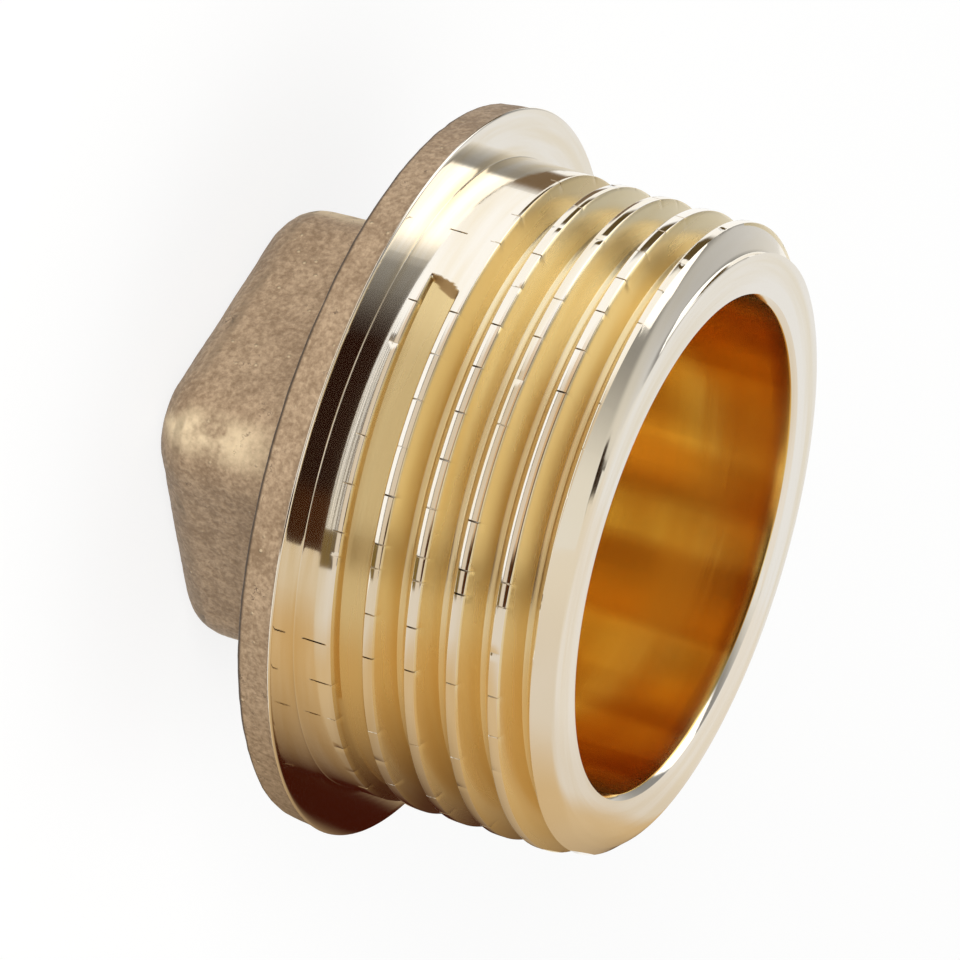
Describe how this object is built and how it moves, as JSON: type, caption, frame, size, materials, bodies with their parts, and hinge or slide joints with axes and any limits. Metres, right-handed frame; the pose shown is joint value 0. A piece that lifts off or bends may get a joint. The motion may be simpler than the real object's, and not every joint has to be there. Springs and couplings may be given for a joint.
{
  "type": "pipe plug",
  "caption": "Brass pipe plug: square head and round flange above a hollow shank with an outside parallel pipe thread, screwed into a female thread to close it.",
  "frame": {"origin": "centre of the flat end of the square head, on which the plug stands", "axes": "+Z along the axis, out of the open mouth; +X and +Y square to the flats of the head"},
  "size_m": [0.0305, 0.0304, 0.0203],
  "materials": {
    "brass": "forged and blasted on the head and rim, turned bright on the flange face, thread and bore"
  },
  "bodies": {
    "root": {"pipe_plug": "brass"}
  },
  "joints": []
}
